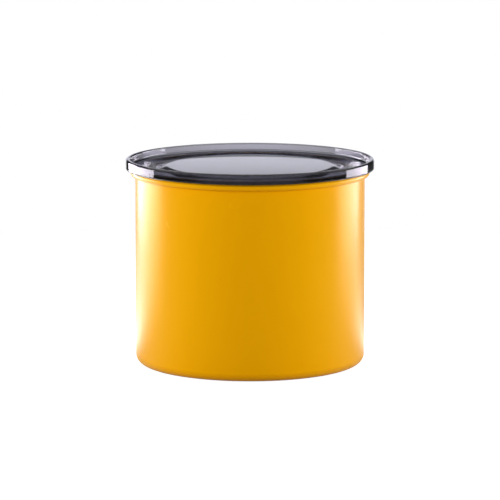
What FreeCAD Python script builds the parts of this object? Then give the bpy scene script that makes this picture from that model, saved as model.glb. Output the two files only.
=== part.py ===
import FreeCAD, Part
import math
import os
import Sketcher
from FreeCAD import Placement, Rotation, Vector

# Coffee canister with a valved inner lid, in millimetres.
# +Z is up and the origin is the middle of the foot. The handle's hinge runs along X,
# and the handle lies folded towards +Y.

SIZES = {
    # Can: drawn steel with a rolled bead round the mouth
    "body_radius": 58.3,
    "steel_wall": 0.8,
    "canister_height": 99.2,
    "base_corner": 4.6,
    "base_kick": 1.2,
    "kick_run": 3.0,
    "stand_width": 6.0,
    "bead_height": 3.2,
    "bead_round_share": 0.47,
    # Outer lid: dished plate with a raised rim, and a plug that enters the mouth
    "lid_wall": 1.2,
    "lid_seat_gap": 0.3,
    "rim_overhang": 2.5,
    "rim_thickness": 2.4,
    "rim_rise": 3.95,
    "rim_lean": 0.4,
    "rim_drop": 0.2,
    "rim_lip": 1.8,
    "rim_outer_round": 1.1,
    "rim_inner_round": 0.7,
    "rim_foot_round": 1.0,
    "moat_width": 13.4,
    "moat_fall": 1.4,
    "moat_round": 1.4,
    "disc_rise": 1.8,
    "disc_slope": 4.0,
    "disc_round": 7.0,
    "plug_clearance": 0.4,
    "plug_wall": 1.7,
    "plug_depth": 7.0,
    "plug_round": 0.5,
    "lid_seal_height": 2.4,
    "lid_seal_depth": 1.0,
    "lid_seal_land": 1.6,
    "lid_seal_clearance": 0.25,
    "lid_seal_round": 0.5,
    # Inner lid: dished plunger plate
    "headroom": 2.2,
    "web": 2.4,
    "rim_gap": 2.9,
    "flange_reach": 1.8,
    "dish_wall": 2.2,
    "dish_height": 13.0,
    "dish_round": 2.5,
    "top_flange": 2.2,
    "flange_round": 0.7,
    "seat_flange": 1.6,
    "foot_flange": 2.4,
    "gasket_seat_height": 6.0,
    "gasket_seat_drop": 1.2,
    "rib_count": 12,
    "rib_width": 1.6,
    "rib_height": 3.0,
    # Inner lid gasket: a band with two upturned wiping lips
    "gasket_fit": 0.05,
    "gasket_clearance": 0.3,
    "gasket_band": 1.7,
    "lip_tip": 0.6,
    "lip_root": 1.5,
    "lip_rise": 1.5,
    "lip_land": 0.35,
    # Valve tower, vents and seat, all on the plate
    "tower_bore": 7.2,
    "tower_wall": 2.2,
    "tower_height": 8.0,
    "tower_round": 0.8,
    "guide_wall": 1.7,
    "guide_depth": 1.4,
    "vent_count": 6,
    "vent_radius": 1.3,
    "seat_radius": 8.2,
    "seat_width": 1.6,
    "seat_height": 1.6,
    "collar_wall": 1.7,
    "collar_depth": 3.2,
    "collar_gap": 2.9,
    # Handle, hinge and cam
    "handle_reach": 26.0,
    "handle_span": 15.4,
    "handle_bend": 9.0,
    "arm_half_width": 3.0,
    "arm_half_height": 3.2,
    "hub_radius": 3.6,
    "hub_shoulder": 0.5,
    "pin_radius": 1.5,
    "pin_fit": 0.02,
    "pin_running_clearance": 0.06,
    "pin_chamfer": 0.4,
    "ear_thickness": 4.0,
    "ear_gap": 0.5,
    "ear_radius": 5.0,
    "ear_round_share": 0.94,
    "cam_width": 8.0,
    "cam_clearance": 0.15,
    "valve_travel": 2.4,
    # Valve
    "stem_radius": 2.0,
    "stem_clearance": 0.08,
    "stem_fit": 0.02,
    "stem_tail": 0.9,
    "head_radius": 5.0,
    "head_thickness": 1.8,
    "head_proud": 1.0,
    "head_round": 0.4,
    "seal_thickness": 1.2,
    "seal_margin": 0.6,
    "seal_fit": 0.05,
    "cup_floor": 1.8,
    "cup_lip": 0.8,
    "cup_lip_height": 0.6,
    "cup_round": 0.6,
    "clip_thickness": 0.7,
    "clip_width": 2.2,
    "clip_depth": 0.6,
    "clip_mouth": 2.2,
    "spring_radius": 3.4,
    "spring_wire": 0.8,
    "spring_turns": 4.5,
    # Guard: slotted cage under the valve
    "guard_fit": 0.05,
    "guard_wall": 1.4,
    "guard_floor": 1.4,
    "guard_clearance": 0.4,
    "guard_round": 2.0,
    "guard_slots": 12,
    "guard_slot_width": 2.4,
    "guard_slot_height": 4.0,
    "floor_slots": 6,
    "floor_slot_width": 2.0,
    "floor_slot_start": 3.4,
    "floor_slot_margin": 1.6,
    # How far a cut runs past what it cuts
    "overrun": 1.0,
}

doc = FreeCAD.newDocument("coffee_canister")
sheet = doc.addObject("Spreadsheet::Sheet", "sizes")
for row, (alias, number) in enumerate(SIZES.items(), start=1):
    sheet.set(f"A{row}", alias)
    sheet.set(f"B{row}", str(number))
    sheet.setAlias(f"B{row}", alias)
doc.recompute()


class Size:
    """A length: what it measures now, and the sheet expression that drives it."""

    def __init__(self, value, text):
        self.value = value
        self.text = text

    def __add__(self, other):
        return Size(self.value + other.value, f"({self.text} + {other.text})")

    def __sub__(self, other):
        return Size(self.value - other.value, f"({self.text} - {other.text})")

    def __mul__(self, factor):
        factor = factor if isinstance(factor, Size) else Size(factor, str(factor))
        return Size(self.value * factor.value, f"{self.text} * {factor.text}")

    def __truediv__(self, divisor):
        return Size(self.value / divisor, f"{self.text} / {divisor}")

    def __neg__(self):
        return Size(-self.value, f"-{self.text}")


class Sheet:
    """The sheet's cells by name, each as a Size."""

    def __getattr__(self, name):
        return Size(float(sheet.get(name)), f"sizes.{name}")


dim = Sheet()
ZERO = Size(0.0, "0")

# Can
inner_radius = dim.body_radius - dim.steel_wall
bead_outer = inner_radius + dim.bead_height
bead_bottom = dim.canister_height - dim.bead_height
bead_round = dim.bead_height * dim.bead_round_share
stand_inner = dim.body_radius - dim.base_corner - dim.stand_width
floor_top = dim.base_kick + dim.steel_wall

# Outer lid, in the can's own heights
lid_radius = bead_outer + dim.rim_overhang
plate_seat = dim.canister_height + dim.lid_seat_gap
moat_outer = lid_radius - dim.rim_thickness - dim.rim_lean
moat_inner = moat_outer - dim.moat_width
moat_top = plate_seat + dim.lid_wall
moat_low = moat_top - dim.moat_fall
disc_radius = moat_inner - dim.disc_slope
disc_top = moat_low + dim.disc_rise
disc_under = disc_top - dim.lid_wall
rim_top = moat_top + dim.rim_rise
rim_bottom = plate_seat - dim.rim_drop
plug_radius = inner_radius - dim.plug_clearance
plug_inner = plug_radius - dim.plug_wall
plug_bottom = plate_seat - dim.plug_depth
lid_seal_bottom = plug_bottom + dim.lid_seal_land
lid_seal_top = lid_seal_bottom + dim.lid_seal_height
lid_seal_seat = plug_radius - dim.lid_seal_depth

# Inner lid, in heights above the top face of its web
flange_radius = inner_radius - dim.rim_gap
dish_outer = flange_radius - dim.flange_reach
dish_inner = dish_outer - dim.dish_wall
gasket_bottom = -dim.gasket_seat_drop
gasket_top = gasket_bottom + dim.gasket_seat_height
foot_bottom = gasket_bottom - dim.foot_flange
stem_bore = dim.stem_radius + dim.stem_clearance
guide_radius = stem_bore + dim.guide_wall
tower_outer = dim.tower_bore + dim.tower_wall
seat_outer = dim.seat_radius + dim.seat_width
seat_face = -(dim.web + dim.seat_height)
vent_circle = (guide_radius + dim.tower_bore) / 2

# Valve, in the same heights
head_top = dim.tower_height + dim.head_proud
head_under = head_top - dim.head_thickness
seal_radius = seat_outer + dim.seal_margin
cup_top = seat_face - dim.seal_thickness
cup_bottom = cup_top - dim.cup_floor
cup_radius = seal_radius + dim.seal_fit + dim.cup_lip
clip_bottom = cup_bottom - dim.clip_thickness
clip_groove = dim.stem_radius - dim.clip_depth
stem_end = clip_bottom - dim.stem_tail

# Guard, in the same heights
collar_inner = cup_radius + dim.collar_gap
collar_outer = collar_inner + dim.collar_wall
guard_radius = collar_inner - dim.guard_fit
guard_inner = guard_radius - dim.guard_wall
guard_floor_top = stem_end - dim.valve_travel - dim.guard_clearance
guard_bottom = guard_floor_top - dim.guard_floor

# Hinge: the cam is an eccentric disc, whose lift over a quarter turn is close to even
cam_offset = dim.valve_travel / 2
cam_radius = dim.hub_radius + cam_offset
hinge_height = head_top + dim.cam_clearance + dim.hub_radius
hub_end = dim.handle_span + dim.arm_half_width + dim.hub_shoulder
ear_inner = hub_end + dim.ear_gap
ear_outer = ear_inner + dim.ear_thickness

# The inner lid rests as high as the raised handle can stand under the closed outer lid
raised_height = hinge_height + dim.handle_reach + dim.arm_half_width
inner_lid_level = disc_under - dim.headroom - raised_height

# The sketch's own references: horizontal axis, vertical axis and origin point, and an edge's points
H_AXIS, V_AXIS = range(-1, -3, -1)
START, END, CENTRE = range(1, 4)
ORIGIN = (H_AXIS, START)


def new_body(label, level=ZERO):
    """An empty body named for its piece, raised to a level."""
    body = doc.addObject("PartDesign::Body", label)
    body.Label = label
    body.setExpression("Placement.Base.z", level.text)
    return body


def origin_part(body, role):
    """One of a body's own origin planes or axes."""
    return next(part for part in body.Origin.OriginFeatures if part.Role == role)


def new_sketch(body, name, plane, lift=None):
    """An empty sketch on one of a body's origin planes, or lifted off it."""
    sketch = body.newObject("Sketcher::SketchObject", f"{body.Name}_{name}")
    sketch.AttachmentSupport = [(origin_part(body, plane), "")]
    sketch.MapMode = "FlatFace"
    if lift:
        sketch.setExpression("AttachmentOffset.Base.z", lift.text)
    return sketch


def drive(sketch, kind, *where, size):
    """A constraint whose measure comes from the sheet."""
    index = sketch.addConstraint(Sketcher.Constraint(kind, *where, size.value))
    sketch.setExpression(f"Constraints[{index}]", size.text)


def fix_point(sketch, edge, end, across, up):
    """Hold a point of the sketch at a place given by two sizes."""
    for kind, axis, size in (("DistanceX", V_AXIS, across), ("DistanceY", H_AXIS, up)):
        if size is ZERO:
            sketch.addConstraint(Sketcher.Constraint("PointOnObject", edge, end, axis))
        else:
            drive(sketch, kind, *ORIGIN, edge, end, size=size)


def draw_outline(sketch, corners):
    """A closed outline of straight sides. A corner is (across, up) or (across, up, rounding)."""
    points = [Vector(corner[0].value, corner[1].value, 0) for corner in corners]
    count = len(points)
    roundings = [corner[2] if len(corner) > 2 else None for corner in corners]
    heading = [(points[(i + 1) % count] - points[i]).normalize() for i in range(count)]
    turns = [heading[i - 1].getAngle(heading[i]) for i in range(count)]
    cuts = [r.value * math.tan(turn / 2) if r else 0.0 for r, turn in zip(roundings, turns)]
    sides = []
    for i in range(count):
        j = (i + 1) % count
        first = points[i] + heading[i] * cuts[i]
        last = points[j] - heading[i] * cuts[j]
        sides.append(sketch.addGeometry(Part.LineSegment(first, last)))
    for i, (across, up) in enumerate(corner[:2] for corner in corners):
        before, after = sides[i - 1], sides[i]
        if not roundings[i]:
            sketch.addConstraint(Sketcher.Constraint("Coincident", before, END, after, START))
            fix_point(sketch, after, START, across, up)
            continue
        radius = roundings[i].value
        inward = (heading[i] - heading[i - 1]).normalize()
        centre = points[i] + inward * (radius / math.cos(turns[i] / 2))
        into = points[i] - heading[i - 1] * cuts[i] - centre
        out = points[i] + heading[i] * cuts[i] - centre
        left_turn = heading[i - 1].cross(heading[i]).z > 0
        begin, finish = (into, out) if left_turn else (out, into)
        circle = Part.Circle(centre, Vector(0, 0, 1), radius)
        angles = [math.atan2(arm.y, arm.x) for arm in (begin, finish)]
        arc = sketch.addGeometry(Part.ArcOfCircle(circle, *angles))
        near, far = (START, END) if left_turn else (END, START)
        tip = sketch.addGeometry(Part.Point(points[i]), True)
        fix_point(sketch, tip, START, across, up)
        for side in (before, after):
            sketch.addConstraint(Sketcher.Constraint("PointOnObject", tip, START, side))
        sketch.addConstraint(Sketcher.Constraint("Tangent", before, END, arc, near))
        sketch.addConstraint(Sketcher.Constraint("Tangent", arc, far, after, START))
        drive(sketch, "Radius", arc, size=roundings[i])


def draw_circle(sketch, across, up, radius):
    """A circle at a place given by two sizes."""
    circle = Part.Circle(Vector(across.value, up.value, 0), Vector(0, 0, 1), radius.value)
    edge = sketch.addGeometry(circle)
    fix_point(sketch, edge, CENTRE, across, up)
    drive(sketch, "Radius", edge, size=radius)


def box_corners(left, right, low, high):
    """The four corners of a rectangle."""
    return [(left, low), (right, low), (right, high), (left, high)]


def spin(body, name, corners, axis="V_Axis"):
    """A ring or disc turned from an outline in the XZ plane."""
    sketch = new_sketch(body, f"{name}_outline", "XZ_Plane")
    draw_outline(sketch, corners)
    feature = body.newObject("PartDesign::Revolution", f"{body.Name}_{name}")
    feature.Profile = sketch
    feature.ReferenceAxis = (sketch, [axis])
    feature.Angle = 360
    return feature


def extrude(body, kind, name, sketch, length, symmetric=False, reverse=False):
    """A Pad or Pocket of a sketch, to one side of it or evenly to both."""
    feature = body.newObject(f"PartDesign::{kind}", f"{body.Name}_{name}")
    feature.Profile = sketch
    feature.setExpression("Length", length.text)
    feature.SideType = "Symmetric" if symmetric else "One side"
    feature.Reversed = reverse
    return feature


def cut(body, name, sketch, length, symmetric=False, reverse=False):
    """A pocket that is known to remove material."""
    doc.recompute()
    before = body.Shape.Volume
    feature = extrude(body, "Pocket", name, sketch, length, symmetric, reverse)
    doc.recompute()
    if body.Shape.Volume >= before:
        raise RuntimeError(f"{feature.Name} removes nothing")
    return feature


def around(body, feature, count):
    """A feature repeated evenly round the body's own vertical axis."""
    pattern = body.newObject("PartDesign::PolarPattern", f"{feature.Name}_ring")
    pattern.Originals = [feature]
    pattern.Axis = (origin_part(body, "Z_Axis"), [""])
    pattern.Angle = 360
    pattern.setExpression("Occurrences", count.text)
    body.Tip = pattern
    return pattern


def make_canister_shell():
    body = new_body("canister_shell")
    spin(body, "shell", [
        (ZERO, dim.base_kick),
        (stand_inner - dim.kick_run, dim.base_kick),
        (stand_inner, ZERO),
        (dim.body_radius, ZERO, dim.base_corner),
        (dim.body_radius, bead_bottom),
        (bead_outer, bead_bottom, bead_round),
        (bead_outer, dim.canister_height, bead_round),
        (inner_radius, dim.canister_height, bead_round),
        (inner_radius, dim.steel_wall, dim.base_corner - dim.steel_wall),
        (stand_inner, dim.steel_wall),
        (stand_inner - dim.kick_run, floor_top),
        (ZERO, floor_top),
    ])
    return body


def make_outer_lid():
    body = new_body("outer_lid")
    spin(body, "lid", [
        (ZERO, disc_under),
        (disc_radius, disc_under),
        (moat_inner, moat_low - dim.lid_wall),
        (plug_inner, plate_seat - dim.moat_fall / 2),
        (plug_inner, plug_bottom),
        (plug_radius, plug_bottom, dim.plug_round),
        (plug_radius, lid_seal_bottom),
        (lid_seal_seat, lid_seal_bottom),
        (lid_seal_seat, lid_seal_top),
        (plug_radius, lid_seal_top),
        (plug_radius, plate_seat),
        (lid_radius - dim.rim_lip, plate_seat),
        (lid_radius - dim.rim_lip, rim_bottom),
        (lid_radius, rim_bottom, dim.rim_foot_round),
        (lid_radius, rim_top, dim.rim_outer_round),
        (lid_radius - dim.rim_thickness, rim_top, dim.rim_inner_round),
        (moat_outer, moat_top, dim.moat_round),
        (moat_inner, moat_low, dim.disc_round),
        (disc_radius, disc_top, dim.disc_round),
        (ZERO, disc_top),
    ])
    return body


def make_outer_lid_seal():
    body = new_body("outer_lid_seal")
    outer = inner_radius - dim.lid_seal_clearance
    spin(body, "ring", [
        (lid_seal_seat, lid_seal_bottom),
        (outer, lid_seal_bottom, dim.lid_seal_round),
        (outer, lid_seal_top, dim.lid_seal_round),
        (lid_seal_seat, lid_seal_top),
    ])
    return body


def make_inner_lid_plate():
    body = new_body("inner_lid_plate", inner_lid_level)
    web_under = -dim.web
    flange_under = dim.dish_height - dim.top_flange
    spin(body, "plate", [
        (stem_bore, ZERO),
        (dim.tower_bore, ZERO),
        (dim.tower_bore, dim.tower_height),
        (tower_outer, dim.tower_height, dim.tower_round),
        (tower_outer, ZERO, dim.tower_round),
        (dish_inner, ZERO, dim.dish_round),
        (dish_inner, dim.dish_height, dim.flange_round),
        (flange_radius, dim.dish_height, dim.flange_round),
        (flange_radius, flange_under),
        (dish_outer, flange_under),
        (dish_outer, gasket_top + dim.seat_flange),
        (flange_radius, gasket_top + dim.seat_flange),
        (flange_radius, gasket_top),
        (dish_outer, gasket_top),
        (dish_outer, gasket_bottom),
        (flange_radius, gasket_bottom),
        (flange_radius, foot_bottom, dim.flange_round),
        (dish_inner, foot_bottom, dim.flange_round),
        (dish_inner, web_under),
        (collar_outer, web_under),
        (collar_outer, web_under - dim.collar_depth),
        (collar_inner, web_under - dim.collar_depth),
        (collar_inner, web_under),
        (seat_outer, web_under),
        (seat_outer, seat_face),
        (dim.seat_radius, seat_face),
        (dim.seat_radius, web_under),
        (guide_radius, web_under),
        (guide_radius, web_under - dim.guide_depth),
        (stem_bore, web_under - dim.guide_depth),
    ])
    ribs = new_sketch(body, "rib_outline", "XY_Plane")
    half = dim.rib_width / 2
    rib_start = dim.tower_bore + dim.tower_wall / 2
    rib_end = dish_inner + dim.dish_wall / 2
    draw_outline(ribs, box_corners(rib_start, rib_end, -half, half))
    around(body, extrude(body, "Pad", "rib", ribs, dim.rib_height), dim.rib_count)
    ears = new_sketch(body, "ear_outline", "YZ_Plane", lift=ear_inner)
    ear_top = hinge_height + dim.ear_radius
    ear_round = dim.ear_radius * dim.ear_round_share
    draw_outline(ears, [
        (-dim.ear_radius, -dim.web / 2),
        (dim.ear_radius, -dim.web / 2),
        (dim.ear_radius, ear_top, ear_round),
        (-dim.ear_radius, ear_top, ear_round),
    ])
    ear = extrude(body, "Pad", "ear", ears, dim.ear_thickness)
    pair = body.newObject("PartDesign::Mirrored", f"{body.Name}_ear_pair")
    pair.Originals = [ear]
    pair.MirrorPlane = (origin_part(body, "YZ_Plane"), [""])
    body.Tip = pair
    bore = new_sketch(body, "pin_bore_outline", "YZ_Plane")
    draw_circle(bore, ZERO, hinge_height, dim.pin_radius + dim.pin_fit)
    cut(body, "pin_bore", bore, (ear_outer + dim.overrun) * 2, symmetric=True)
    vent = new_sketch(body, "vent_outline", "XY_Plane")
    draw_circle(vent, vent_circle, ZERO, dim.vent_radius)
    around(body, cut(body, "vent", vent, dim.web + dim.overrun), dim.vent_count)
    return body


def make_inner_lid_gasket():
    body = new_body("inner_lid_gasket", inner_lid_level)
    seat = dish_outer + dim.gasket_fit
    band = seat + dim.gasket_band
    tip = inner_radius - dim.gasket_clearance
    low = gasket_bottom + dim.gasket_fit
    high = gasket_top - dim.gasket_fit
    corners = [(seat, low)]
    root = low
    for _ in range(2):
        crest = root + dim.lip_rise
        corners += [
            (band, root),
            (tip, crest),
            (tip, crest + dim.lip_tip),
            (band, root + dim.lip_root),
        ]
        root = root + dim.lip_root + dim.lip_land
    corners += [(band, high), (seat, high)]
    spin(body, "ring", corners)
    return body


def make_hinge_pin():
    body = new_body("hinge_pin", inner_lid_level + hinge_height)
    shoulder = ear_outer - dim.pin_chamfer
    tip_radius = dim.pin_radius - dim.pin_chamfer
    spin(body, "pin", [
        (-ear_outer, ZERO),
        (ear_outer, ZERO),
        (ear_outer, tip_radius),
        (shoulder, dim.pin_radius),
        (-shoulder, dim.pin_radius),
        (-ear_outer, tip_radius),
    ], axis="H_Axis")
    return body


def make_handle():
    """Bail on a hub, drawn folded, with the hinge axis through the body's origin."""
    body = new_body("handle", inner_lid_level + hinge_height)
    path = new_sketch(body, "bail_path", "XY_Plane")
    span, reach, bend = dim.handle_span, dim.handle_reach, dim.handle_bend
    straight = reach - bend
    side = span - bend
    sides = [
        path.addGeometry(Part.LineSegment(Vector(a.value, b.value, 0), Vector(c.value, d.value, 0)))
        for a, b, c, d in (
            (span, ZERO, span, straight),
            (side, reach, -side, reach),
            (-span, straight, -span, ZERO),
        )
    ]
    quarter = math.pi / 2
    arcs = []
    for index, across in enumerate((side, -side)):
        centre = Vector(across.value, straight.value, 0)
        circle = Part.Circle(centre, Vector(0, 0, 1), bend.value)
        arcs.append(path.addGeometry(Part.ArcOfCircle(circle, index * quarter, (index + 1) * quarter)))
    for before, arc, after in ((sides[0], arcs[0], sides[1]), (sides[1], arcs[1], sides[2])):
        path.addConstraint(Sketcher.Constraint("Tangent", before, END, arc, START))
        path.addConstraint(Sketcher.Constraint("Tangent", arc, END, after, START))
        drive(path, "Radius", arc, size=bend)
    path.addConstraint(Sketcher.Constraint("Vertical", sides[0]))
    path.addConstraint(Sketcher.Constraint("Vertical", sides[2]))
    fix_point(path, sides[0], START, span, ZERO)
    fix_point(path, sides[2], END, -span, ZERO)
    drive(path, "DistanceY", *ORIGIN, sides[1], START, size=reach)
    section = new_sketch(body, "bail_section", "XZ_Plane")
    tall = dim.arm_half_height.value > dim.arm_half_width.value
    long_half, short_half = dim.arm_half_width, dim.arm_half_height
    long_tip = Vector(span.value + long_half.value, 0, 0)
    short_tip = Vector(span.value, short_half.value, 0)
    if tall:
        long_half, short_half = short_half, long_half
        long_tip = Vector(span.value, long_half.value, 0)
        short_tip = Vector(span.value + short_half.value, 0, 0)
    oval = section.addGeometry(Part.Ellipse(long_tip, short_tip, Vector(span.value, 0, 0)))
    section.exposeInternalGeometry(oval)
    fix_point(section, oval, CENTRE, span, ZERO)
    long_line, short_line = oval + 1, oval + 2
    section.addConstraint(Sketcher.Constraint("Vertical" if tall else "Horizontal", long_line))
    drive(section, "Distance", long_line, size=long_half * 2)
    drive(section, "Distance", short_line, size=short_half * 2)
    bail = body.newObject("PartDesign::AdditivePipe", "handle_bail")
    bail.Profile = section
    bail.Spine = (path, [""])
    hub = new_sketch(body, "hub_outline", "YZ_Plane")
    draw_circle(hub, ZERO, ZERO, dim.hub_radius)
    extrude(body, "Pad", "hub", hub, hub_end * 2, symmetric=True)
    cam = new_sketch(body, "cam_outline", "YZ_Plane")
    draw_circle(cam, -cam_offset, cam_offset, cam_radius)
    extrude(body, "Pad", "cam", cam, dim.cam_width, symmetric=True)
    bore = new_sketch(body, "bore_outline", "YZ_Plane")
    draw_circle(bore, ZERO, ZERO, dim.pin_radius + dim.pin_running_clearance)
    cut(body, "bore", bore, (hub_end + dim.overrun) * 2, symmetric=True)
    return body


def make_valve_stem():
    body = new_body("valve_stem", inner_lid_level)
    spin(body, "stem", [
        (ZERO, stem_end),
        (dim.stem_radius, stem_end),
        (dim.stem_radius, clip_bottom),
        (clip_groove, clip_bottom),
        (clip_groove, cup_bottom),
        (dim.stem_radius, cup_bottom),
        (dim.stem_radius, head_under),
        (dim.head_radius, head_under, dim.head_round),
        (dim.head_radius, head_top, dim.head_round),
        (ZERO, head_top),
    ])
    return body


def make_poppet_cup():
    body = new_body("poppet_cup", inner_lid_level)
    bore = dim.stem_radius + dim.stem_fit
    lip_inner = seal_radius + dim.seal_fit
    lip_top = cup_top + dim.cup_lip_height
    spin(body, "cup", [
        (bore, cup_bottom),
        (cup_radius, cup_bottom, dim.cup_round),
        (cup_radius, lip_top),
        (lip_inner, lip_top),
        (lip_inner, cup_top),
        (bore, cup_top),
    ])
    return body


def make_poppet_seal():
    body = new_body("poppet_seal", inner_lid_level)
    spin(body, "washer", box_corners(dim.stem_radius + dim.stem_fit, seal_radius, cup_top, seat_face))
    return body


def make_stem_clip():
    """Open snap ring in the stem's groove, under the poppet cup."""
    body = new_body("stem_clip", inner_lid_level)
    bore = clip_groove + dim.stem_fit
    outer = bore + dim.clip_width
    spin(body, "ring", box_corners(bore, outer, clip_bottom, cup_bottom))
    mouth = new_sketch(body, "mouth_outline", "XY_Plane")
    half = dim.clip_mouth / 2
    draw_outline(mouth, box_corners(-half, half, ZERO, outer + dim.overrun))
    cut(body, "mouth", mouth, -clip_bottom + dim.overrun)
    return body


def make_valve_guard():
    body = new_body("valve_guard", inner_lid_level)
    top = -dim.web
    spin(body, "cage", [
        (ZERO, guard_bottom),
        (guard_radius, guard_bottom, dim.guard_round),
        (guard_radius, top),
        (guard_inner, top),
        (guard_inner, guard_floor_top),
        (ZERO, guard_floor_top),
    ])
    wall_slot = new_sketch(body, "slot_outline", "XZ_Plane")
    half = dim.guard_slot_width / 2
    slot_low = guard_floor_top
    draw_outline(wall_slot, box_corners(-half, half, slot_low, slot_low + dim.guard_slot_height))
    around(body, cut(body, "slot", wall_slot, guard_radius + dim.overrun), dim.guard_slots)
    floor_slot = new_sketch(body, "floor_slot_outline", "XY_Plane")
    half = dim.floor_slot_width / 2
    slot_end = guard_inner - dim.floor_slot_margin
    draw_outline(floor_slot, box_corners(dim.floor_slot_start, slot_end, -half, half))
    around(body, cut(body, "floor_slot", floor_slot, -guard_bottom + dim.overrun), dim.floor_slots)
    return body


def arc_between(first, heading, last):
    """The arc that leaves a point along a heading and ends at another point."""
    half_chord = first.distanceToPoint(last) / 2
    along = (last - first).normalize()
    half_turn = heading.getAngle(along)
    bulge = (heading - along * heading.dot(along)).normalize()
    middle = (first + last) / 2 + bulge * (half_chord * math.tan(half_turn / 2))
    return Part.Arc(first, middle, last).toShape()


def biarc(first, first_heading, last, last_heading):
    """Two tangent arcs from one point and heading to another."""
    span = last - first
    total = first_heading + last_heading
    spread = 2 * (1 - first_heading.dot(last_heading))
    reach = span.dot(total)
    arm = (math.sqrt(reach * reach + spread * span.dot(span)) - reach) / spread
    middle = (first + last + (first_heading - last_heading) * arm) / 2
    start = arc_between(first, first_heading, middle)
    finish = arc_between(last, last_heading * -1, middle)
    return [start, finish]


def make_valve_spring():
    """Coil spring round the stem, from the web up to the stem's head."""
    wire = dim.spring_wire.value
    radius = dim.spring_radius.value
    turns = dim.spring_turns.value
    bottom = wire / 2
    rise = head_under.value - wire
    climb = rise / (2 * math.pi * turns)
    quarters = round(turns * 4)

    def place(angle):
        return Vector(radius * math.cos(angle), radius * math.sin(angle), bottom + climb * angle)

    def heading(angle):
        return Vector(-radius * math.sin(angle), radius * math.cos(angle), climb).normalize()

    angles = [2 * math.pi * turns * i / quarters for i in range(quarters + 1)]
    edges = []
    for a, b in zip(angles, angles[1:]):
        edges += biarc(place(a), heading(a), place(b), heading(b))
    path = Part.Wire(Part.__sortEdges__(edges))
    section = Part.Wire(Part.Circle(place(0), heading(0), wire / 2).toShape())
    per_turn = 90
    samples = [place(2 * math.pi * i / per_turn) for i in range(round(turns * per_turn) + 1)]
    apart = [
        a.distanceToPoint(b)
        for i, a in enumerate(samples)
        for b in samples[i + per_turn // 2:]
    ]
    print(f"valve_spring least gap to itself {min(apart) - wire:.3f} mm")
    spring = doc.addObject("Part::Feature", "valve_spring")
    spring.Label = "valve_spring"
    spring.Shape = path.makePipeShell([section], True, False)
    spring.Placement = Placement(Vector(0, 0, inner_lid_level.value), Rotation())
    return spring


pieces = [
    make_canister_shell(),
    make_outer_lid(),
    make_outer_lid_seal(),
    make_inner_lid_plate(),
    make_inner_lid_gasket(),
    make_hinge_pin(),
    make_handle(),
    make_valve_stem(),
    make_poppet_cup(),
    make_poppet_seal(),
    make_stem_clip(),
    make_valve_guard(),
    make_valve_spring(),
]
doc.recompute()

for item in doc.Objects:
    faults = {"Invalid", "Error"} & set(item.State)
    if faults:
        raise RuntimeError(f"{item.Name} is {faults}")
for piece in pieces:
    if piece.Shape.isNull() or not piece.Shape.isValid() or len(piece.Shape.Solids) != 1:
        raise RuntimeError(f"{piece.Label} is not one sound solid")

os.makedirs("parts", exist_ok=True)
for piece in pieces:
    piece.Shape.exportStep(f"parts/{piece.Label}.step")
    box = piece.Shape.BoundBox
    print(f"{piece.Label}: volume {piece.Shape.Volume:.1f} mm3, z {box.ZMin:.2f} to {box.ZMax:.2f}")
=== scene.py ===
import math

import bpy
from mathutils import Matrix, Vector


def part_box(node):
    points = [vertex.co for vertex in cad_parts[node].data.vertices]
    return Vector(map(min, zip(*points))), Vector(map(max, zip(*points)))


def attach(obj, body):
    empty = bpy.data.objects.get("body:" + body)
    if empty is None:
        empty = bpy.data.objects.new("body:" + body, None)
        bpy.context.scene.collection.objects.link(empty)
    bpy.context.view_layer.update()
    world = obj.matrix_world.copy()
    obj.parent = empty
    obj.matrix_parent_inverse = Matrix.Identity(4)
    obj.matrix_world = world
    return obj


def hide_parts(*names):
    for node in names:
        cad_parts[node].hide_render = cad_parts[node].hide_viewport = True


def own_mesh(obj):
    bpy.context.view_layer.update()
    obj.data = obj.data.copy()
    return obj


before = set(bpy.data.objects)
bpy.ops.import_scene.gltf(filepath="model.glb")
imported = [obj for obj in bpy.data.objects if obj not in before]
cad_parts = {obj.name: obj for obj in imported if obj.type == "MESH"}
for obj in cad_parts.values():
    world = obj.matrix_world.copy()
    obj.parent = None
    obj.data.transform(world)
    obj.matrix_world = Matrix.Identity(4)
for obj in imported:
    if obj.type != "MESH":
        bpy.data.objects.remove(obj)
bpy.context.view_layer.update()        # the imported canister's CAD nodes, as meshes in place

# Coffee canister with a smoke plastic outer lid and a valved inner lid, in metres.
# The can stands on the floor at the origin, and the camera looks along +Y.

# Sizes that the CAD nodes give
_, shell_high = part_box("canister_shell")
lid_low, lid_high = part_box("outer_lid")
seal_low, seal_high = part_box("outer_lid_seal")
spring_low, spring_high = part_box("valve_spring")

# Can
steel_wall = 0.0008
bead_height = 0.0032
bead_round = 0.0015
bead_root_round = 0.0004
base_corner = 0.0046
base_kick = 0.0012
kick_run = 0.003
kick_round = 0.002
stand_width = 0.006
bead_outer = shell_high.x
can_inner = bead_outer - bead_height
can_radius = can_inner + steel_wall
can_top = shell_high.z
bead_bottom = can_top - bead_height
stand_inner = can_radius - base_corner - stand_width
panel_radius = stand_inner - kick_run
panel_top = base_kick + steel_wall

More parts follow.
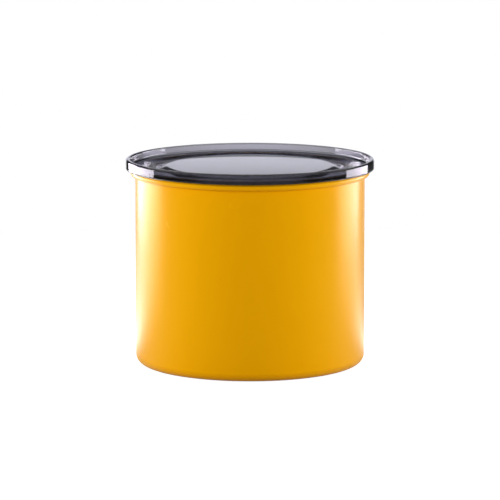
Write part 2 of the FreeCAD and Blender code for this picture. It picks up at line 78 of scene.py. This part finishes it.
# Outer lid
lid_wall = 0.0012
lid_seat_gap = 0.0003
rim_thickness = 0.0024
rim_lean = 0.0004
rim_drop = 0.0002
rim_lip = 0.0018
rim_outer_round = 0.0011
rim_inner_round = 0.0007
rim_foot_round = 0.001
moat_width = 0.0134
moat_fall = 0.0014
moat_round = 0.0014
disc_rise = 0.0018
disc_slope = 0.004
disc_round = 0.007
plug_clearance = 0.0004
plug_wall = 0.0017
plug_round = 0.0005
plug_inner_round = 0.0004
plug_root_round = 0.0006
plug_neck_round = 0.0003
step_round = 0.0001
seal_depth = 0.001
lid_radius = lid_high.x
rim_top = lid_high.z
plate_seat = can_top + lid_seat_gap
rim_bottom = plate_seat - rim_drop
rim_inner = lid_radius - rim_thickness
lip_inner = lid_radius - rim_lip
moat_top = plate_seat + lid_wall
moat_low = moat_top - moat_fall
moat_outer = rim_inner - rim_lean
moat_inner = moat_outer - moat_width
disc_radius = moat_inner - disc_slope
disc_top = moat_low + disc_rise
disc_under = disc_top - lid_wall
plug_bottom = lid_low.z
plug_root = plate_seat - moat_fall / 2
plug_radius = can_inner - plug_clearance
plug_inner = plug_radius - plug_wall
seal_seat = plug_radius - seal_depth

# Valve spring
spring_wire = 0.0008
spring_turns = 4.5
spring_close = 0.4               # how much closer than even the end turns are wound
wire_radius = spring_wire / 2
spring_coil = spring_high.x - wire_radius
spring_height = spring_high.z - spring_low.z

# Fineness of the meshes
SEGMENTS = 256
WIRE_SIDES = 16
TURN_STEPS = 48
ARC_STEP = math.radians(9)
SHARP_ANGLE = math.radians(35)


class Value:
    """A socket of a finish's node tree. Sums on it add Math nodes."""

    def __init__(self, finish, socket):
        self.finish = finish
        self.socket = socket

    def maths(self, operation, first, second):
        return self.finish.add("ShaderNodeMath", {"operation": operation}, {0: first, 1: second})

    def __add__(self, other):
        return self.maths("ADD", self, other)

    __radd__ = __add__

    def __sub__(self, other):
        return self.maths("SUBTRACT", self, other)

    def __rsub__(self, other):
        return self.maths("SUBTRACT", other, self)

    def __mul__(self, other):
        return self.maths("MULTIPLY", self, other)

    __rmul__ = __mul__

    def __truediv__(self, other):
        return self.maths("DIVIDE", self, other)

    def __rtruediv__(self, other):
        return self.maths("DIVIDE", other, self)

    def at_least(self, other):
        return self.maths("MAXIMUM", self, other)


class Finish:
    """A node tree under construction, for a material or for the world."""

    bump_depth = 0.0001          # how far a full bump stands out, in metres

    def __init__(self, owner):
        owner.use_nodes = True
        self.owner = owner
        self.tree = owner.node_tree
        self.tree.nodes.clear()

    def add(self, kind, settings=None, sockets=None, output=0):
        """Any node: its settings first, then the values or links of its sockets."""
        node = self.tree.nodes.new(kind)
        for name, value in (settings or {}).items():
            setattr(node, name, value)
        for name, value in (sockets or {}).items():
            if isinstance(value, Value):
                self.tree.links.new(value.socket, node.inputs[name])
            else:
                node.inputs[name].default_value = value
        return Value(self, node.outputs[output]) if node.outputs else None

    def place(self):
        """Where a point lies on its piece, in metres."""
        return self.add("ShaderNodeTexCoord", output="Object")

    def along(self, vector, axis):
        """A vector's part along X, Y or Z."""
        return self.add("ShaderNodeSeparateXYZ", sockets={0: vector}, output=axis)

    def stretch(self, vector, by):
        """A vector scaled along each axis."""
        return self.add("ShaderNodeVectorMath", {"operation": "MULTIPLY"}, {0: vector, 1: by})

    def noise(self, vector, scale, detail=2.0, roughness=0.5):
        """Cloudy noise from 0 to 1."""
        sockets = {"Vector": vector, "Scale": scale, "Detail": detail, "Roughness": roughness}
        return self.add("ShaderNodeTexNoise", {"noise_dimensions": "3D"}, sockets)

    def blend(self, share, first, second):
        """A colour between two others. A Mix node's colours are its inputs 6 and 7 and its output 2."""
        sockets = {0: share, 6: first, 7: second}
        return self.add("ShaderNodeMix", {"data_type": "RGBA"}, sockets, output=2)

    def ramp(self, value, span):
        """A value mapped smoothly to 0 at a span's first end and to 1 at its second."""
        start, full = span
        sockets = {"Value": value, "From Min": start, "From Max": full}
        return self.add("ShaderNodeMapRange", {"interpolation_type": "SMOOTHSTEP"}, sockets)

    def bump(self, height, strength):
        """A surface's normal, bumped by a height from 0 to 1."""
        sockets = {"Height": height, "Strength": strength, "Distance": self.bump_depth}
        return self.add("ShaderNodeBump", sockets=sockets)

    def ray(self, kind):
        """1 for the light rays of a kind, and 0 for all others."""
        return self.add("ShaderNodeLightPath", output=kind)

    def close(self, surface, volume=None):
        """Link the shaders to the output and return what was built."""
        in_world = isinstance(self.owner, bpy.types.World)
        kind = "ShaderNodeOutputWorld" if in_world else "ShaderNodeOutputMaterial"
        sockets = {"Surface": surface}
        if volume:
            sockets["Volume"] = volume
        self.add(kind, sockets=sockets)
        return self.owner


def new_finish(name):
    return Finish(bpy.data.materials.new(name))


def srgb(red, green, blue):
    """A colour given in screen values from 0 to 255, as the linear colour that shaders use."""
    def linear(value):
        share = value / 255
        return share / 12.92 if share <= 0.04045 else ((share + 0.055) / 1.055) ** 2.4
    return (linear(red), linear(green), linear(blue), 1.0)


def grey(level):
    """A plain grey of a linear brightness, where 1 is white."""
    return (level, level, level, 1.0)


def powder_coat():
    """Satin yellow powder coat: a slow drift of tone and a fine orange peel."""
    deep, bright = srgb(241, 166, 1), srgb(244, 169, 2)
    gleam = srgb(255, 236, 60)
    finish = new_finish("yellow_powder_coat")
    place = finish.place()
    drift = finish.noise(place, scale=45.0, detail=3.0)
    peel = finish.noise(place, scale=1400.0, detail=2.0)
    grain = finish.noise(place, scale=5200.0, detail=1.0)
    surface = finish.add("ShaderNodeBsdfPrincipled", sockets={
        "Base Color": finish.blend(drift, deep, bright),
        "Roughness": drift * 0.06 + 0.23,
        "Specular IOR Level": 0.3,
        "Specular Tint": gleam,
        "Normal": finish.bump(peel * 0.7 + grain * 0.3, strength=0.12),
    })
    return finish.close(surface)


def brushed_steel(name, fineness, roughness, depth):
    """Bare steel with brushed lines, which are finest across the way that the brush went."""
    dull, bright = srgb(188, 188, 190), srgb(222, 222, 222)
    finish = new_finish(name)
    place = finish.place()
    lines = finish.noise(finish.stretch(place, fineness), scale=1.0, detail=4.0, roughness=0.6)
    blotch = finish.noise(place, scale=60.0, detail=3.0)
    surface = finish.add("ShaderNodeBsdfPrincipled", sockets={
        "Base Color": finish.blend(lines, dull, bright),
        "Metallic": 1.0,
        "Roughness": lines * 0.12 + blotch * 0.06 + roughness,
        "Normal": finish.bump(lines, strength=depth),
    })
    return finish.close(surface)


def smoke_plastic():
    """Polished, smoke tinted clear plastic with faint handling haze and scuffs."""
    clear, clearest = srgb(244, 243, 250), srgb(250, 249, 254)
    smoke = (0.40, 0.395, 0.44, 1.0)
    scuff_fineness = (900.0, 60.0, 400.0)
    finish = new_finish("smoke_plastic")
    place = finish.place()
    haze = finish.noise(place, scale=70.0, detail=4.0)
    scuffs = finish.noise(finish.stretch(place, scuff_fineness), scale=1.0, detail=3.0)
    surface = finish.add("ShaderNodeBsdfPrincipled", sockets={
        "Base Color": finish.blend(haze, clear, clearest),
        "Roughness": haze * 0.04 + scuffs * 0.03 + 0.02,
        "IOR": 1.52,
        "Transmission Weight": 1.0,
    })
    tint = finish.add("ShaderNodeVolumeAbsorption", sockets={"Color": smoke, "Density": 800.0})
    return finish.close(surface, tint)


def moulded_plastic(name, dark, light, roughness):
    """Moulded plastic with a fine spark-eroded grain and slow flow marks."""
    finish = new_finish(name)
    place = finish.place()
    flow = finish.noise(place, scale=55.0, detail=3.0)
    grain = finish.noise(place, scale=3600.0, detail=2.0)
    surface = finish.add("ShaderNodeBsdfPrincipled", sockets={
        "Base Color": finish.blend(flow, dark, light),
        "Roughness": flow * 0.08 + grain * 0.08 + roughness,
        "Normal": finish.bump(grain, strength=0.18),
    })
    return finish.close(surface)


def silicone():
    """Soft milky silicone with a dusty sheen."""
    milky, dusty = srgb(186, 188, 187), srgb(214, 215, 212)
    finish = new_finish("silicone")
    dust = finish.noise(finish.place(), scale=320.0, detail=4.0, roughness=0.65)
    surface = finish.add("ShaderNodeBsdfPrincipled", sockets={
        "Base Color": finish.blend(dust, milky, dusty),
        "Roughness": dust * 0.15 + 0.42,
        "Subsurface Weight": 0.25,
        "Subsurface Scale": 0.001,
        "Subsurface Radius": (1.0, 1.0, 1.0),
        "Normal": finish.bump(dust, strength=0.1),
    })
    return finish.close(surface)


def arc(corner, before, after, radius):
    """The points that round a corner between the directions of the lines before and after it."""
    turn = before.angle(after)
    sense = 1 if before.cross(after) > 0 else -1
    start = corner - before * radius * math.tan(turn / 2)
    centre = start + Vector((-before.y, before.x)) * radius * sense
    arm = start - centre
    steps = max(2, round(turn / ARC_STEP))
    points = []
    for step in range(steps + 1):
        angle = sense * turn * step / steps
        points.append(centre + Vector((
            arm.x * math.cos(angle) - arm.y * math.sin(angle),
            arm.x * math.sin(angle) + arm.y * math.cos(angle),
        )))
    return points


def rounded(corners):
    """An outline's points, with arcs where a corner (radius, height, rounding) has a rounding."""
    points = []
    flat = [Vector(corner[:2]) for corner in corners]
    for index, corner in enumerate(corners):
        if len(corner) < 3:
            points.append(flat[index])
            continue
        before = (flat[index] - flat[index - 1]).normalized()
        after = (flat[index + 1] - flat[index]).normalized()
        points += arc(flat[index], before, after, corner[2])
    return points


def ring(radius, height):
    """The points of a level circle round the axis, or the one point on it for a radius of 0."""
    if radius == 0:
        return [(0.0, 0.0, height)]
    angles = [2 * math.pi * step / SEGMENTS for step in range(SEGMENTS)]
    return [(radius * math.cos(angle), radius * math.sin(angle), height) for angle in angles]


def band(low, high):
    """The faces between two rings of point numbers, either of which may be a single point."""
    faces = []
    for step in range(SEGMENTS):
        on = (step + 1) % SEGMENTS
        if len(low) == 1:
            faces.append((low[0], high[on], high[step]))
        elif len(high) == 1:
            faces.append((low[step], low[on], high[0]))
        else:
            faces.append((low[step], low[on], high[on], high[step]))
    return faces


def new_piece(name, vertices, faces, finishes):
    """A smooth piece whose sharp edges stay sharp."""
    mesh = bpy.data.meshes.new(name)
    mesh.from_pydata(vertices, [], faces)
    for finish in finishes:
        mesh.materials.append(finish)
    mesh.shade_smooth()
    mesh.set_sharp_from_angle(angle=SHARP_ANGLE)
    piece = bpy.data.objects.new(name, mesh)
    bpy.context.scene.collection.objects.link(piece)
    return piece


def lathe(name, outlines, finishes):
    """A turned piece. Each outline's points run on from the last one's and take one finish."""
    vertices = []
    rows = []
    owners = []
    for index, outline in enumerate(outlines):
        for point in outline:
            circle = ring(point.x, point.y)
            rows.append(range(len(vertices), len(vertices) + len(circle)))
            owners.append(index)
            vertices += circle
    faces = []
    marks = []
    for low, high, owner in zip(rows, rows[1:], owners):
        faces += band(low, high)
        marks += [owner] * SEGMENTS
    piece = new_piece(name, vertices, faces, finishes)
    piece.data.polygons.foreach_set("material_index", marks)
    even = piece.modifiers.new("even_shading", "WEIGHTED_NORMAL")
    even.keep_sharp = True
    return piece


def stand_for(piece, node, body):
    """Show a piece in place of a CAD node."""
    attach(piece, body)
    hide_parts(node)


def make_can(coat, steel):
    """Drawn steel can with a rolled bead, coated outside and bare inside from under the bead."""
    outside = rounded([
        (0.0, base_kick),
        (panel_radius, base_kick, kick_round),
        (stand_inner, 0.0, kick_round),
        (can_radius, 0.0, base_corner),
        (can_radius, bead_bottom, bead_root_round),
        (bead_outer, bead_bottom, bead_round),
        (bead_outer, can_top, bead_round),
        (can_inner, can_top, bead_round),
        (can_inner, bead_bottom),
    ])
    inside = rounded([
        (can_inner, bead_bottom),
        (can_inner, steel_wall, base_corner - steel_wall),
        (stand_inner, steel_wall, kick_round),
        (panel_radius, panel_top, kick_round),
        (0.0, panel_top),
    ])
    can = lathe("can", [outside[:-1], inside], [coat, steel])
    stand_for(can, "canister_shell", "canister")


def make_lid(plastic):
    """Smoke plastic lid: raised rim, sloping moat, flat middle and a plug that enters the mouth."""
    outline = rounded([
        (0.0, disc_under),
        (disc_radius, disc_under, disc_round),
        (moat_inner, moat_low - lid_wall, disc_round),
        (plug_inner, plug_root, plug_root_round),
        (plug_inner, plug_bottom, plug_inner_round),
        (plug_radius, plug_bottom, plug_round),
        (plug_radius, seal_low.z, step_round),
        (seal_seat, seal_low.z, step_round),
        (seal_seat, seal_high.z, step_round),
        (plug_radius, seal_high.z, step_round),
        (plug_radius, plate_seat, plug_neck_round),
        (lip_inner, plate_seat, step_round),
        (lip_inner, rim_bottom, step_round),
        (lid_radius, rim_bottom, rim_foot_round),
        (lid_radius, rim_top, rim_outer_round),
        (rim_inner, rim_top, rim_inner_round),
        (moat_outer, moat_top, moat_round),
        (moat_inner, moat_low, disc_round),
        (disc_radius, disc_top, disc_round),
        (0.0, disc_top),
    ])
    lid = lathe("lid", [outline], [plastic])
    stand_for(lid, "outer_lid", "outer_lid")


def wire_ring(share):
    """The points round the spring's wire at a share of its length from the lower end."""
    around = 2 * math.pi * share
    climb = share - spring_close * math.sin(around) / (2 * math.pi)
    height = spring_low.z + wire_radius + (spring_height - spring_wire) * climb
    outward = Vector((math.cos(around * spring_turns), math.sin(around * spring_turns), 0.0))
    points = []
    for side in range(WIRE_SIDES):
        angle = 2 * math.pi * side / WIRE_SIDES
        reach = spring_coil + math.cos(angle) * wire_radius
        points.append(outward * reach + Vector((0.0, 0.0, height + math.sin(angle) * wire_radius)))
    return points


def make_spring(steel):
    """Coil spring with closer end turns, under the stem's head."""
    vertices = []
    faces = []
    steps = round(spring_turns * TURN_STEPS)
    for step in range(steps + 1):
        vertices += wire_ring(step / steps)
    for low in range(0, steps * WIRE_SIDES, WIRE_SIDES):
        high = low + WIRE_SIDES
        for side in range(WIRE_SIDES):
            on = (side + 1) % WIRE_SIDES
            faces.append((low + side, high + side, high + on, low + on))
    last = steps * WIRE_SIDES
    faces.append(range(WIRE_SIDES))
    faces.append(range(last + WIRE_SIDES - 1, last - 1, -1))
    spring = new_piece("coil_spring", vertices, faces, [steel])
    stand_for(spring, "valve_spring", "inner_lid")
    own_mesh(spring)


def dress(nodes, finish):
    """Give CAD nodes their finish."""
    for node in nodes:
        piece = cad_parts[node]
        piece.data.materials.clear()
        piece.data.materials.append(finish)


# Finishes and pieces
coat = powder_coat()
can_steel = brushed_steel("brushed_steel_inside", fineness=(25.0, 25.0, 1800.0), roughness=0.32, depth=0.4)
wire_steel = brushed_steel("bright_steel", fineness=(300.0, 1800.0, 1800.0), roughness=0.2, depth=0.08)
black = moulded_plastic("black_moulding", dark=srgb(38, 38, 41), light=srgb(50, 50, 53), roughness=0.36)
satin = moulded_plastic("grey_moulding", dark=srgb(84, 85, 88), light=srgb(98, 99, 102), roughness=0.34)
soft = silicone()
make_can(coat, can_steel)
make_lid(smoke_plastic())
make_spring(wire_steel)
dress(("outer_lid_seal", "inner_lid_gasket", "poppet_seal"), soft)
dress(("inner_lid_plate", "valve_guard"), black)
dress(("handle", "valve_stem", "poppet_cup"), satin)
dress(("hinge_pin", "stem_clip"), wire_steel)

# Camera: looks a little down on the lid from the front
CAMERA_BACK = 1.692
CAMERA_HEIGHT = 0.3263
CAMERA_PITCH = math.radians(9.03)
CAMERA_LENS = 242.04             # millimetres, as the sensor's width is
CAMERA_SENSOR = 36.0
camera = bpy.data.objects.new("camera", bpy.data.cameras.new("camera"))
camera.data.lens = CAMERA_LENS
camera.data.sensor_width = CAMERA_SENSOR
camera.location = (0.0, -CAMERA_BACK, CAMERA_HEIGHT)
camera.rotation_euler = (math.pi / 2 - CAMERA_PITCH, 0.0, 0.0)
bpy.context.scene.collection.objects.link(camera)
bpy.context.scene.camera = camera


def softbox(name, place, aim, size, power, tint):
    """A soft lamp that faces the can's axis at a height and is hidden from the camera."""
    lamp = bpy.data.lights.new(name, "AREA")
    lamp.shape = "RECTANGLE"
    lamp.size, lamp.size_y = size
    lamp.energy = power
    lamp.color = tint
    holder = bpy.data.objects.new(name, lamp)
    holder.location = place
    facing = Vector((0.0, 0.0, aim)) - Vector(place)
    holder.rotation_euler = facing.to_track_quat("-Z", "Y").to_euler()
    holder.visible_camera = False
    bpy.context.scene.collection.objects.link(holder)
    return holder


# Lamps: those behind the can show only in gloss, and the fills light only matte surfaces
COOL = (1.0, 0.93, 1.05)
WARM = (0.95, 1.01, 0.9)
PLAIN = (1.0, 1.0, 1.0)
gleams = [
    softbox("left_softbox", place=(-0.517, 0.305, 0.14), aim=0.1, size=(0.56, 0.32), power=5.8, tint=COOL),
    softbox("right_softbox", place=(0.545, 0.25, 0.14), aim=0.1, size=(0.42, 0.32), power=3.5, tint=COOL),
]
fills = [
    softbox("front_fill", place=(0.0, -0.45, 0.27), aim=0.08, size=(0.4, 0.15), power=0.45, tint=PLAIN),
    softbox("left_fill", place=(-0.577, -0.165, 0.2), aim=0.06, size=(0.4, 0.2), power=2.4, tint=WARM),
    softbox("right_fill", place=(0.577, -0.165, 0.2), aim=0.06, size=(0.4, 0.2), power=2.25, tint=WARM),
]
for lamp in gleams:
    lamp.visible_diffuse = False
for lamp in fills:
    lamp.visible_glossy = False

# Shades of the studio
WHITE = grey(1.0)
ROOM_NEAR = grey(0.18)
DARK_SIDE = (0.07, 0.07, 0.075, 1.0)
TABLE = (0.5, 0.48, 0.66, 1.0)
WALL = (1.6, 1.6, 2.2, 1.0)
CEILING = (0.95, 0.95, 0.97, 1.0)
FAR_FLOOR = grey(0.5)
SWEEP_HIGH = (1.16, 1.16, 1.32, 1.0)
SWEEP_LOW = grey(1.38)

# Where each shade of the studio lies, as spans from where it starts to where it is full. Forward is a
# direction's part along +Y, away from the camera, and rise is its part along +Z.
ROOM_FORWARD = (-0.35, 0.65)
TABLE_FORWARD = (-0.5, -0.8)
TABLE_RISE = (0.02, -0.02)
WALL_FORWARD = (-0.2, -0.5)
WALL_FOOT_RISE = (0.05, 0.12)
WALL_TOP_RISE = (0.75, 0.6)
CEILING_RISE = (0.45, 0.65)
FAR_FLOOR_FORWARD = (0.6, 0.75)
FAR_FLOOR_RISE = (-0.132, -0.142)
SWEEP_FORWARD = (0.93, 0.985)
SWEEP_RISE = (0.17, 0.12)
SWEEP_BEND_RISE = (0.05, -0.05)
BELOW_RISE = (-0.2, -0.3)


def mirrored_studio(finish, forward, rise):
    """The studio as gloss and clear plastic show it: a dark room with pale parts and a bright sweep."""
    table = finish.ramp(forward, TABLE_FORWARD) * finish.ramp(rise, TABLE_RISE)
    wall = finish.ramp(forward, WALL_FORWARD) * finish.ramp(rise, WALL_FOOT_RISE)
    wall = wall * finish.ramp(rise, WALL_TOP_RISE)
    far_floor = finish.ramp(forward, FAR_FLOOR_FORWARD) * finish.ramp(rise, FAR_FLOOR_RISE)
    sweep = finish.ramp(forward, SWEEP_FORWARD) * finish.ramp(rise, SWEEP_RISE)
    sweep = sweep.at_least(finish.ramp(rise, BELOW_RISE))
    shade = finish.blend(table, DARK_SIDE, TABLE)
    shade = finish.blend(wall, shade, WALL)
    shade = finish.blend(finish.ramp(rise, CEILING_RISE), shade, CEILING)
    shade = finish.blend(far_floor, shade, FAR_FLOOR)
    paper = finish.blend(finish.ramp(rise, SWEEP_BEND_RISE), SWEEP_HIGH, SWEEP_LOW)
    return finish.blend(sweep, shade, paper)


def studio_world():
    """White studio. It is white to the camera, and its light on matte surfaces fades towards the front."""
    finish = Finish(bpy.data.worlds.new("studio"))
    heading = finish.add("ShaderNodeTexCoord", output="Generated")
    forward = finish.along(heading, "Y")
    rise = finish.along(heading, "Z")
    room = finish.blend(finish.ramp(forward, ROOM_FORWARD), ROOM_NEAR, WHITE)
    in_gloss = finish.ray("Is Glossy Ray").at_least(finish.ray("Is Transmission Ray"))
    lit = finish.blend(in_gloss, room, mirrored_studio(finish, forward, rise))
    shade = finish.blend(finish.ray("Is Camera Ray"), lit, WHITE)
    return finish.close(finish.add("ShaderNodeBackground", sockets={"Color": shade}))


bpy.context.scene.world = studio_world()

# Floor, with its glow to the camera and through clear plastic
FLOOR_REACH = 0.45
FLOOR_DROP = 0.0001
FLOOR_MATTE = grey(0.54)
FLOOR_SEEN = 0.82
FLOOR_THROUGH = 0.4

# Painted sheen: the floor glows to gloss alone, at the left and right behind the can, and makes the can's
# edge highlights in place of lamps. A slant is the way across divided by the way behind, and a sheen
# changes by its slope for each metre across.
SHEEN_LEAST = 0.1
SHEEN_BEHIND = (0.0, 0.1)
LEFT_SLANT = (-0.2, -1.5)
LEFT_SHEEN = 4.4
LEFT_SLOPE = 5.0
RIGHT_SLANT = (0.6, 1.7)
RIGHT_SHEEN = 3.5
RIGHT_SLOPE = 8.5
RIGHT_LEAST = 0.7


def painted_floor_sheen(finish):
    """Painted sheen: how brightly the floor glows to gloss alone."""
    across = finish.along(finish.place(), "X")
    behind = finish.along(finish.place(), "Y")
    slant = across / behind
    left = finish.ramp(slant, LEFT_SLANT) * (across * LEFT_SLOPE + LEFT_SHEEN)
    right = finish.ramp(slant, RIGHT_SLANT) * (RIGHT_SHEEN - across * RIGHT_SLOPE).at_least(RIGHT_LEAST)
    return finish.ramp(behind, SHEEN_BEHIND) * (left + right) + SHEEN_LEAST


def white_floor():
    """Pale floor that shows white and keeps the shadow. To gloss alone it glows brighter behind the can,
    as painted sheen.
    """
    finish = new_finish("pale_floor")
    matte = finish.add("ShaderNodeBsdfDiffuse", sockets={"Color": FLOOR_MATTE})
    seen = finish.ray("Is Camera Ray")
    through = finish.ray("Is Transmission Ray")
    in_gloss = (finish.ray("Is Glossy Ray") - through).at_least(0.0)
    # the glow in gloss is painted sheen, which lights the can's edge highlights in place of lamps
    glow = seen * FLOOR_SEEN + through * FLOOR_THROUGH + in_gloss * painted_floor_sheen(finish)
    light = finish.add("ShaderNodeEmission", sockets={"Color": glow})
    return finish.close(finish.add("ShaderNodeAddShader", sockets={0: matte, 1: light}))


floor = new_piece("floor", ring(FLOOR_REACH, 0.0), [range(SEGMENTS)], [white_floor()])
floor.location.z = -FLOOR_DROP

bpy.context.scene.view_settings.view_transform = "Standard"
